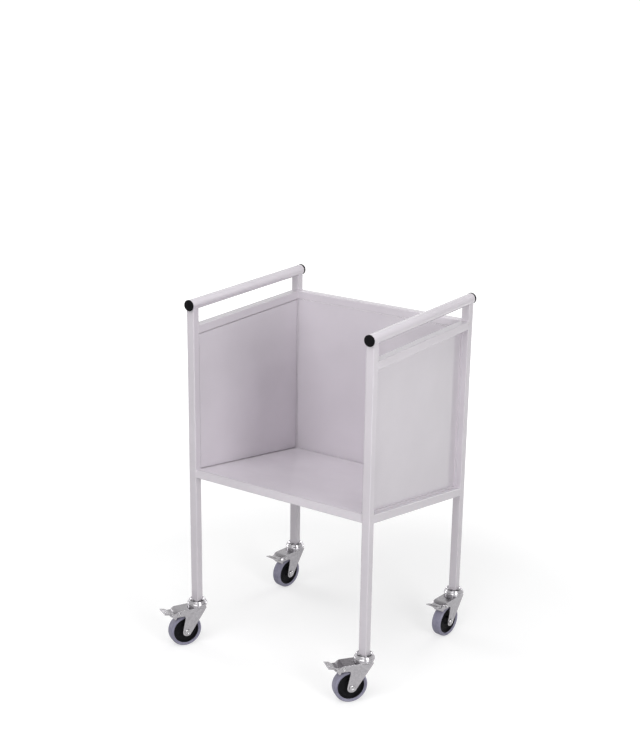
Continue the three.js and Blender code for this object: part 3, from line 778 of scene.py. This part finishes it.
for side in SIDES:
    low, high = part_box(f"{side}_panel")
    inside = high.x if side == "left" else low.x
    for y in (low.y, high.y):
        slope_foot = low.z + (high.y - y) * SHELF_SLOPE
        for share in TACK_HEIGHTS:
            z = slope_foot + share * (high.z - slope_foot)
            add_bead((inside, y, z), ALONG_Y, TACK_LENGTH, TACK_RADIUS)
low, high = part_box("back_panel")
for x in (low.x, high.x):
    for share in TACK_HEIGHTS:
        add_bead((x, low.y, low.z + share * (high.z - low.z)), ALONG_Z, TACK_LENGTH, TACK_RADIUS)
beads = make_piece("weld_beads", welds, Matrix.Identity(4), powder_coat, "frame")
print("weld mesh has", len(beads.data.polygons), "faces")

# %% [markdown]
# ## A bench for the castors
# All four castors are alike, so each piece is modelled once on a bench: X runs from the swivel axis
# towards the wheel, Y runs across the fork and Z is up, with the floor at zero. A matrix read from the
# joints then carries it to each corner, turned the way that castor happens to point.

# %% Castor bench
first_swivel = Vector(joints["front_left_swivel"]["pos_m"])
first_hub = Vector(joints["front_left_roll"]["pos_m"])
first_pivot = Vector(joints["front_left_brake"]["pos_m"])
CROWN_TOP = first_swivel.z
WHEEL_RADIUS = first_hub.z
TRAIL = (first_hub - first_swivel).xy.length
PIVOT_X = (first_pivot - first_swivel).xy.length
PIVOT_Z = first_pivot.z
POST_FOOT = post_boxes["front_left"][0].z
ON_BENCH = Matrix.Identity(4)
AT_HUB = Matrix.Translation((TRAIL, 0, WHEEL_RADIUS))
AT_PIVOT = Matrix.Translation((PIVOT_X, 0, PIVOT_Z))


def castor_place(corner):
    """Carries a shape from the bench to one corner of the rack."""
    swivel = Vector(joints[f"{corner}_swivel"]["pos_m"])
    trail = Vector(joints[f"{corner}_roll"]["pos_m"]) - swivel
    trail.z = 0
    trail.normalize()
    up = Vector((0, 0, 1))
    turn = Matrix((trail, up.cross(trail), up)).transposed().to_4x4()
    return Matrix.Translation((swivel.x, swivel.y, 0)) @ turn


def make_castor_pieces(new_name, shape, bench_place, finish, body, part=None, wall=None):
    """The same shape at all four corners; body is frame or the ending of a castor body's name."""
    for corner in CORNERS:
        place = castor_place(corner) @ bench_place
        rides_on = body if body == "frame" else f"{corner}_{body}"
        nodes = [f"{corner}_castor_{part}"] if part else []
        make_piece(f"{corner}_castor_{new_name}", shape(), place, finish, rides_on, nodes, wall)
    print("made four of", new_name)


print("castor trail", round(TRAIL / MM, 1), "mm, wheels", round(2 * WHEEL_RADIUS / MM), "mm")

# %% [markdown]
# ## Wheels
# A wheel is a rubber tyre on a moulded core. The tyre has rounded shoulders, a flat tread and a fine
# line pressed into each side wall. The core is dished: a rim, a thin web with a raised ring, and a hub.
# Both are turned from half a section, mirrored across the wheel by listing it again the other way up.

# %% Wheels
WHEEL_STEPS = 96
TYRE_HALF = 13.4 * MM
TYRE_BORE = WHEEL_RADIUS - 8 * MM
RIM_HALF = 10 * MM
HUB_HALF = 14.5 * MM
AXLE_BORE = 4.3 * MM


def mirrored(face):
    """The same corners turned over in height, in the other order."""
    return [(radius, -height, cut) for radius, height, cut in reversed(face)]


def both_ways(face):
    """A closed section from half of one: the given corners, then the same ones mirrored."""
    return [*face, *mirrored(face), face[0][:2] + (0,)]


def tyre():
    tread = WHEEL_RADIUS
    return turned(both_ways([
        (TYRE_BORE, RIM_HALF, 0),
        (tread - 6.9 * MM, RIM_HALF + 0.9 * MM, 0.4 * MM),
        (tread - 6.3 * MM, RIM_HALF + 0.6 * MM, 0.2 * MM),
        (tread - 5.7 * MM, RIM_HALF + 1.6 * MM, 0.4 * MM),
        (tread - 3.7 * MM, TYRE_HALF, 1.2 * MM),
        (tread, TYRE_HALF - 3.9 * MM, 2.4 * MM),
    ]), WHEEL_STEPS)


def wheel_core():
    rim = TYRE_BORE - 0.2 * MM
    return turned(both_ways([
        (AXLE_BORE, HUB_HALF, 0),
        (7 * MM, HUB_HALF, 0.6 * MM),
        (8.5 * MM, HUB_HALF - 4 * MM, 0.8 * MM),
        (11 * MM, 5 * MM, 1.5 * MM),
        (18 * MM, 4.6 * MM, 0.4 * MM),
        (18.8 * MM, 5.4 * MM, 0.4 * MM),
        (20 * MM, 5.4 * MM, 0.4 * MM),
        (20.8 * MM, 4.6 * MM, 0.4 * MM),
        (rim - 3.6 * MM, 5 * MM, 1.2 * MM),
        (rim - 2.8 * MM, RIM_HALF, 0.8 * MM),
        (rim, RIM_HALF, 0.4 * MM),
    ]), WHEEL_STEPS)


make_castor_pieces("tyre_rubber", tyre, AT_HUB @ ALONG_Y, grey_tyre, "wheel", "tyre")
make_castor_pieces("wheel_moulding", wheel_core, AT_HUB @ ALONG_Y, black_plastic, "wheel", "wheel_core")

# %% [markdown]
# ## Swivel heads
# Above each fork a bell-shaped cup covers the ball race, and a stem goes up into the post. Both are
# turned. The cup's foot is a straight rounded band, and above it the bell narrows to a lip, with a
# groove inside it round the stem's flange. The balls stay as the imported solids, since only a sliver of
# them ever shows.

# %% Swivel heads
HEAD_STEPS = 72
RUNNING_GAP = 0.6 * MM
RACEWAY_TOP = CROWN_TOP + 4 * MM
CUP_FOOT = RACEWAY_TOP + RUNNING_GAP
CUP_LIP = POST_FOOT - 0.3 * MM
DISH_FLOOR = POST_FOOT - 2.6 * MM
GROOVE_FLOOR = DISH_FLOOR - 1.9 * MM
RACE_TOP = CUP_FOOT + 5 * MM
CUP_RADIUS = 24.4 * MM
KINGPIN = 5 * MM
KINGPIN_HOLE = KINGPIN + 0.3 * MM
STEM_HEAD = 9 * MM
STEM_FLANGE = 13.5 * MM
STEM_RADIUS = 7.8 * MM


def swivel_cup():
    return turned([
        (KINGPIN_HOLE, RACE_TOP, 0),
        (21.2 * MM, RACE_TOP, 0.5 * MM),
        (22.3 * MM, CUP_FOOT, 0),
        (CUP_RADIUS, CUP_FOOT, 0.9 * MM),
        (CUP_RADIUS, CUP_FOOT + 3.6 * MM, 1.5 * MM),
        (22.8 * MM, CUP_FOOT + 5.2 * MM, 1 * MM),
        (21.5 * MM, CUP_FOOT + 8 * MM, 1.2 * MM),
        (20.4 * MM, CUP_LIP - 1.4 * MM, 0.7 * MM),
        (20 * MM, CUP_LIP, 0.7 * MM),
        (18.5 * MM, CUP_LIP, 0.7 * MM),
        (15.4 * MM, GROOVE_FLOOR, 0.5 * MM),
        (14 * MM, DISH_FLOOR, 0),
        (KINGPIN_HOLE, DISH_FLOOR, 0),
        (KINGPIN_HOLE, RACE_TOP, 0),
    ], HEAD_STEPS)


def stem():
    head_top = CROWN_TOP - 3.1 * MM
    head_foot = head_top - 4.5 * MM
    flange_top = POST_FOOT - 0.3 * MM
    flange_foot = flange_top - 2 * MM
    tip = POST_FOOT + 38 * MM
    return turned([
        (0, head_foot, 0),
        (STEM_HEAD, head_foot, 1.5 * MM),
        (STEM_HEAD, head_top, 0.3 * MM),
        (KINGPIN, head_top, 0),
        (KINGPIN, flange_foot, 0),
        (STEM_FLANGE, flange_foot, 0.3 * MM),
        (STEM_FLANGE, flange_top, 0.5 * MM),
        (STEM_RADIUS, flange_top, 0),
        (STEM_RADIUS, tip - 3 * MM, 0.8 * MM),
        (5.6 * MM, tip, 0.5 * MM),
        (0, tip, 0),
    ], HEAD_STEPS)


make_castor_pieces("swivel_bell", swivel_cup, ON_BENCH, zinc_plate, "frame", "swivel_cup")
make_castor_pieces("post_stem", stem, ON_BENCH, bright_steel, "frame", "stem")
for corner in CORNERS:
    race = frame["nodes"][f"{corner}_castor_ball_race"]
    race.data.materials.clear()
    race.data.materials.append(bright_steel)
print("ball races finished in", bright_steel.name)

# %% [markdown]
# ## The fork's side view
# The fork is the piece that takes most skill on the real castor: one sheet pressed into a crown, a hood
# over the wheel and two cheeks that hold the axle. It could be carved from a block with booleans, but a
# press works from sheet, so the mesh does too. It starts as a side view: a ring of corners, each with
# the cut that rounds it.

# %% The fork's side view
FORK_HALF = 18 * MM
SKIRT = 2 * WHEEL_RADIUS + 3 * MM
HOOD_REACH = PIVOT_X + 19 * MM
CROWN_FRONT = -19.1 * MM
FRONT_WALL_X = 1.2 * MM
FRONT_WALL_FOOT = 67.7 * MM
TIP_FOOT = WHEEL_RADIUS - 11.5 * MM


def fork_side_view():
    """Corners of the cheek, from the hood's foot over the crown and round the tip."""
    return [
        (HOOD_REACH, SKIRT, 0),
        (HOOD_REACH, SKIRT + 8 * MM, 6.5 * MM),
        (HOOD_REACH - 13 * MM, CROWN_TOP, 6.5 * MM),
        (CROWN_FRONT, CROWN_TOP, 5.5 * MM),
        (FRONT_WALL_X, FRONT_WALL_FOOT, 0),
        (27.9 * MM, TIP_FOOT, 6 * MM),
        (48.2 * MM, TIP_FOOT, 14.2 * MM),
        (TRAIL + 2.5 * MM, SKIRT, 7 * MM),
    ]


print("fork", round((HOOD_REACH - CROWN_FRONT) / MM, 1), "mm long")

# %% [markdown]
# ## Cuts in the fork
# Pushed across, the side view is a closed box. The strips that a press leaves open are known by where
# they lie, and are deleted. Four planes cut a slot for the pedal into the end of the hood, and that end
# is drawn in to a round nose: the further a vertex lies from the middle, the further back it moves.

# %% Cuts in the fork
HAIR = 0.1 * MM  # slack for comparing places
SLOT_HALF = 13.6 * MM
SLOT_TOP = PIVOT_Z + 4.6 * MM
SLOT_FOOT = PIVOT_Z - 3.5 * MM
NOSE_LENGTH = 22 * MM
NOSE_FLAT = 5 * MM  # half of the nose that stays straight
NOSE_SAG = 7 * MM


def is_strip(face):
    """The strips run across the fork; the two cheeks face sideways."""
    return abs(face.normal.y) < 0.5


def is_open_strip(face):
    """Strips below the skirt and behind the front wall, which a pressed fork doesn't have."""
    centre = face.calc_center_median()
    return is_strip(face) and centre.z < SKIRT + 2 * HAIR and centre.x > FRONT_WALL_X


def slice_nose(bm, point, normal):
    """Cuts the strips of the hood's nose along a plane."""
    nose = [f for f in bm.faces if is_strip(f) and f.calc_center_median().x > PIVOT_X]
    edges = {e for f in nose for e in f.edges}
    verts = {v for f in nose for v in f.verts}
    bmesh.ops.bisect_plane(bm, geom=[*nose, *edges, *verts], plane_co=point, plane_no=normal)


def cut_slot(bm):
    """Opens the hood's nose for the pedal: four cuts across the strip, then the middle is deleted."""
    for side in (SLOT_HALF, -SLOT_HALF):
        slice_nose(bm, (0, side, 0), (0, 1, 0))
    for height in (SLOT_TOP, SLOT_FOOT):
        slice_nose(bm, (0, 0, height), (0, 0, 1))
    opening = []
    for face in bm.faces:
        centre = face.calc_center_median()
        if centre.x > PIVOT_X and abs(centre.y) < SLOT_HALF and SLOT_FOOT < centre.z < SLOT_TOP:
            opening.append(face)
    bmesh.ops.delete(bm, geom=opening, context="FACES")


def draw_in_nose(bm):
    """Draws the sides of the nose back, more towards the cheeks, so that it is round from above."""
    for y in (NOSE_FLAT, 2 * NOSE_FLAT):
        for side in (-y, y):
            slice_nose(bm, (0, side, 0), (0, 1, 0))
    start = HOOD_REACH - NOSE_LENGTH
    for vert in bm.verts:
        if vert.co.x > start and vert.co.z > SKIRT - HAIR:
            outward = max(0, abs(vert.co.y) - NOSE_FLAT) / (FORK_HALF - NOSE_FLAT)
            vert.co.x -= NOSE_SAG * outward**2 * (vert.co.x - start) / NOSE_LENGTH


print("slot", round(2 * SLOT_HALF / MM, 1), "mm wide")

# %% [markdown]
# ## Forks
# Now the steps come together: push across, open, cut, round the pressed edges and draw in the nose. The
# cheeks get a narrow inset border, which keeps the shading of the rounded edges off the flat sheet. A
# Solidify modifier gives the sheet its thickness, since it keeps the outside where the press put it.

# %% Forks
FORK_SHEET = 2.5 * MM
PRESSED_EDGE = 4.2 * MM
PRESSED_ANGLE = 1.0  # radians; the pressed edges turn more than this
CHEEK_BORDER = 1.2 * MM


def fork():
    bm = pushed_across(fork_side_view(), start=-FORK_HALF, width=2 * FORK_HALF)
    bmesh.ops.delete(bm, geom=[f for f in bm.faces if is_open_strip(f)], context="FACES")
    cut_slot(bm)
    folds = [e for e in bm.edges if len(e.link_faces) == 2]
    pressed = [e for e in folds if e.calc_face_angle() > PRESSED_ANGLE]
    round_off(bm, pressed, PRESSED_EDGE, 5)
    draw_in_nose(bm)
    cheeks = sorted(bm.faces, key=lambda f: f.calc_area())[-2:]
    bmesh.ops.inset_individual(bm, faces=cheeks, thickness=CHEEK_BORDER, use_even_offset=True)
    return bm


make_castor_pieces("pressed_fork", fork, ON_BENCH, zinc_plate, "fork", "fork", FORK_SHEET)

# %% [markdown]
# ## Raceways
# The balls run on a round boss that is pressed up out of the crown. It could be pressed from the fork's
# own mesh, but a turned piece that stands on the crown is rounder, and its joint lies under the cup.

# %% Raceways
RACEWAY_RADIUS = 22.8 * MM
RACEWAY_ROOT = CROWN_TOP - 4 * MM


def raceway():
    return turned([
        (KINGPIN_HOLE, RACEWAY_ROOT, 0),
        (RACEWAY_RADIUS - 5 * MM, RACEWAY_ROOT, 0.5 * MM),
        (RACEWAY_RADIUS, CROWN_TOP, 1 * MM),
        (RACEWAY_RADIUS, RACEWAY_TOP, 0.9 * MM),
        (KINGPIN_HOLE, RACEWAY_TOP, 0),
        (KINGPIN_HOLE, RACEWAY_ROOT, 0),
    ], HEAD_STEPS)


make_castor_pieces("raceway_boss", raceway, ON_BENCH, zinc_plate, "fork")

# %% [markdown]
# ## Axles and pins
# The axle and the pedal's pin are rivets: a shank across the fork and a low domed head at each end, with
# the small dimple that the riveting tool leaves. One turned section serves both.

# %% Axles and pins
RIVET_STEPS = 40


def rivet(shank, head, rise):
    """A shank across the fork with a domed head outside each cheek."""
    seat = FORK_HALF + 0.2 * MM
    end = [
        (shank, seat, 0),
        (head, seat, 0.2 * MM),
        (head, seat + 0.4 * rise, 0.3 * rise),
        (0.84 * head, seat + 0.95 * rise, 0.3 * rise),
        (0.48 * head, seat + rise, 0.2 * rise),
        (0.36 * head, seat + 0.6 * rise, 0.2 * rise),
        (0, seat + 0.55 * rise, 0),
    ]
    return turned([*mirrored(end), *end], RIVET_STEPS)


def axle():
    return rivet(4 * MM, 7 * MM, 3.2 * MM)


def pin():
    return rivet(2.5 * MM, 4.5 * MM, 1.6 * MM)


make_castor_pieces("axle_rivet", axle, AT_HUB @ ALONG_Y, bright_steel, "fork", "axle_bolt")
make_castor_pieces("pedal_rivet", pin, AT_PIVOT @ ALONG_Y, bright_steel, "fork", "pedal_pin")

# %% [markdown]
# ## Brake pedals
# A pedal is a plate that tips about its pin and presses a shoe towards the tyre. Its side view is another
# ring of rounded corners: plate, barrel round the pin, and shoe. It is pushed across like the fork, and
# outside the hood, where the plate bends up, it is pulled wider into a paddle. Three low bars on top
# give grip.

# %% Brake pedals
PEDAL_HALF = 13 * MM
PADDLE_HALF = 17.9 * MM
PEDAL_REACH = 37.9 * MM
PEDAL_BEND = 20 * MM
PEDAL_FLARE = 6 * MM
PADDLE_SLOPE = 4.2 / 18
BARREL = 4.2 * MM  # half the barrel's height, and the top of the plate
PLATE_FOOT = 2 * MM
PEDAL_EDGE = 0.5 * MM
PEDAL_EDGE_ANGLE = 1.2  # radians; the rims turn more than this


def pedal_side_view():
    reach_rise = (PEDAL_REACH - PEDAL_BEND) * PADDLE_SLOPE
    flare_rise = PEDAL_FLARE * PADDLE_SLOPE
    return [
        (PEDAL_REACH, PLATE_FOOT + reach_rise, 0.6 * MM),
        (PEDAL_REACH, BARREL + reach_rise, 0.6 * MM),
        (PEDAL_BEND + PEDAL_FLARE, BARREL + flare_rise, 0),
        (PEDAL_BEND, BARREL, 1.5 * MM),
        (-BARREL, BARREL, 4 * MM),
        (-BARREL, -BARREL, 4 * MM),
        (2.2 * MM, -BARREL, 1.5 * MM),
        (5.4 * MM, -13.7 * MM, 1 * MM),
        (7.5 * MM, -16 * MM, 0.8 * MM),
        (10.5 * MM, -14.4 * MM, 1 * MM),
        (10.5 * MM, PLATE_FOOT, 1 * MM),
        (PEDAL_BEND, PLATE_FOOT, 1.5 * MM),
        (PEDAL_BEND + PEDAL_FLARE, PLATE_FOOT + flare_rise, 0),
    ]


GRIP_BARS = (26.5 * MM, 30 * MM, 33.5 * MM)
GRIP_SIZE = (1.6 * MM, 22 * MM, 1.1 * MM)
GRIP_EDGE = 0.4 * MM


def grip_bar(bm, x):
    """A low rounded bar across the paddle."""
    height = BARREL + (x - PEDAL_BEND) * PADDLE_SLOPE
    place = Matrix.Translation((x, 0, height)) @ Matrix.Rotation(-math.atan(PADDLE_SLOPE), 4, "Y")
    made = bmesh.ops.create_cube(bm, size=1, matrix=place @ Matrix.Diagonal((*GRIP_SIZE, 1)))
    edges = {e for v in made["verts"] for e in v.link_edges}
    round_off(bm, list(edges), GRIP_EDGE, 3)


def pedal():
    bm = pushed_across(pedal_side_view(), start=-PEDAL_HALF, width=2 * PEDAL_HALF)
    for vert in bm.verts:
        if vert.co.x > PEDAL_BEND + PEDAL_FLARE - HAIR:
            vert.co.y = math.copysign(PADDLE_HALF, vert.co.y)
    bm.normal_update()
    rims = [e for e in bm.edges if e.calc_face_angle() > PEDAL_EDGE_ANGLE]
    round_off(bm, rims, PEDAL_EDGE, 3)
    for x in GRIP_BARS:
        grip_bar(bm, x)
    return bm


make_castor_pieces("pedal_plate", pedal, AT_PIVOT, zinc_plate, "pedal", "brake_pedal")

# %% [markdown]
# ## World
# The studio is plain. Its background is white only to the eye of the camera and in mirrors: the Light
# Path node tells those rays from the ones that light the rack, so the white adds no light of its own.
# Overhead the studio darkens, which gives bright zinc something to mirror.

# %% World
AMBIENT = (0.14, 0.14, 0.143, 1)
CEILING = 0.4
DIM_FROM, DIM_TO = 0.3, 0.9  # it darkens between these upward parts of a direction


def seen_directly(tree):
    """One for camera, glossy and transmission rays, zero for the rays that light the rack."""
    path = tree.nodes.new("ShaderNodeLightPath")
    total = path.outputs["Is Camera Ray"]
    for ray in ("Is Glossy Ray", "Is Transmission Ray"):
        larger = tree.nodes.new("ShaderNodeMath")
        larger.operation = "MAXIMUM"
        tree.links.new(total, larger.inputs[0])
        tree.links.new(path.outputs[ray], larger.inputs[1])
        total = larger.outputs[0]
    return total


world = bpy.data.worlds.new("studio")
world.use_nodes = True
bpy.context.scene.world = world
sky = world.node_tree
mix = sky.nodes.new("ShaderNodeMix")
mix.data_type = "RGBA"
colour_inputs = [socket for socket in mix.inputs if socket.type == "RGBA"]
colour_inputs[0].default_value = AMBIENT
sky.links.new(seen_directly(sky), mix.inputs["Factor"])
heading = sky.nodes.new("ShaderNodeTexCoord")
parts = sky.nodes.new("ShaderNodeSeparateXYZ")
sky.links.new(heading.outputs["Generated"], parts.inputs[0])
dimming = ranged(sky, parts.outputs["Z"], DIM_FROM, DIM_TO, 1.0, CEILING)
sky.links.new(dimming, colour_inputs[1])
colour_output = next(socket for socket in mix.outputs if socket.type == "RGBA")
sky.links.new(colour_output, sky.nodes["Background"].inputs["Color"])
print("world", world.name, "ready")

# %% [markdown]
# ## Floor
# The floor is a wide, pale, matt plane that takes the shadow of the rack. More light would turn it white
# and burn out the paint, so instead it glows a little, to the camera and in mirrors only: less near the
# rack, where the shadow lies, and up to plain white further out.

# %% Floor
FLOOR_SIZE = 60
FLOOR_TINTS = (0.44, 0.44, 0.44), (0.46, 0.46, 0.46)
FLOOR_ROUGHNESS = 0.9
NEAR, FAR = 0.7, 2.2  # metres from the rack
LIFT_NEAR, LIFT_FAR = 0.57, 1.0
WHITE = (1, 1, 1, 1)


def floor_finish():
    """Pale and matt, and lifted towards white by a glow that lights nothing."""
    finish, tree, shader = new_finish("studio_floor")
    shade = tint(tree, grain(tree, scale=2, detail=2), *FLOOR_TINTS)
    tree.links.new(shade, shader.inputs["Base Color"])
    shader.inputs["Roughness"].default_value = FLOOR_ROUGHNESS
    shader.inputs["Emission Color"].default_value = WHITE
    coordinates = tree.nodes.new("ShaderNodeTexCoord")
    reach = tree.nodes.new("ShaderNodeVectorMath")
    reach.operation = "LENGTH"
    tree.links.new(coordinates.outputs["Object"], reach.inputs[0])
    rise = ranged(tree, reach.outputs["Value"], NEAR, FAR, LIFT_NEAR, LIFT_FAR)
    lift = tree.nodes.new("ShaderNodeMath")
    lift.operation = "MULTIPLY"
    tree.links.new(seen_directly(tree), lift.inputs[0])
    tree.links.new(rise, lift.inputs[1])
    tree.links.new(lift.outputs[0], shader.inputs["Emission Strength"])
    return finish


floor_mesh = bpy.data.meshes.new("floor")
bm = bmesh.new()
bmesh.ops.create_grid(bm, x_segments=1, y_segments=1, size=FLOOR_SIZE / 2)
bm.to_mesh(floor_mesh)
bm.free()
floor_mesh.materials.append(floor_finish())
floor = bpy.data.objects.new("floor", floor_mesh)
bpy.context.scene.collection.objects.link(floor)
print("floor", FLOOR_SIZE, "m across")

# %% [markdown]
# ## Lamps
# Seven square lamps light the rack softly: a low key lamp at the right, a broad one in front and above,
# a low one that reaches under the shelf, one overhead, a small one for the right-hand edges, and one
# each for the back and the left side. Sun or spot lamps would cast harder shadows than a studio's soft
# boxes do. Each lamp is given by where it is seen from the rack, how far off, its size and its power.

# %% Lamps
LAMPS = {  # turn and rise in degrees, distance and size in metres, power in watts
    "key": (67, 16, 2.6, 0.75, 23.5),
    "front": (5, 48, 2.8, 2.0, 43),
    "low": (24, 5, 2.8, 0.8, 8),
    "overhead": (10, 85, 2.6, 2.0, 21),
    "edge": (82, 37, 2.6, 0.7, 4),
    "back": (175, 8, 2.8, 1.2, 25),
    "left": (268, 10, 2.8, 1.2, 23),
}
heart = Vector((middle.x, middle.y, AIM_HEIGHT))


def soft_lamp(name, turn, rise, distance, size, power):
    """A square lamp seen from the rack at a turn from the front towards the right, and a rise."""
    data = bpy.data.lights.new(name, "AREA")
    data.shape = "SQUARE"
    data.size = size
    data.energy = power
    lamp = bpy.data.objects.new(name, data)
    turn, rise = math.radians(turn), math.radians(rise)
    way = Vector((math.sin(turn) * math.cos(rise), -math.cos(turn) * math.cos(rise), math.sin(rise)))
    lamp.location = heart + way * distance
    lamp.rotation_euler = way.to_track_quat("Z", "Y").to_euler()
    lamp.visible_camera = False
    bpy.context.scene.collection.objects.link(lamp)


for name, numbers in LAMPS.items():
    soft_lamp(name, *numbers)
bpy.context.scene.view_settings.view_transform = "Standard"
print(len(LAMPS), "soft lamps")
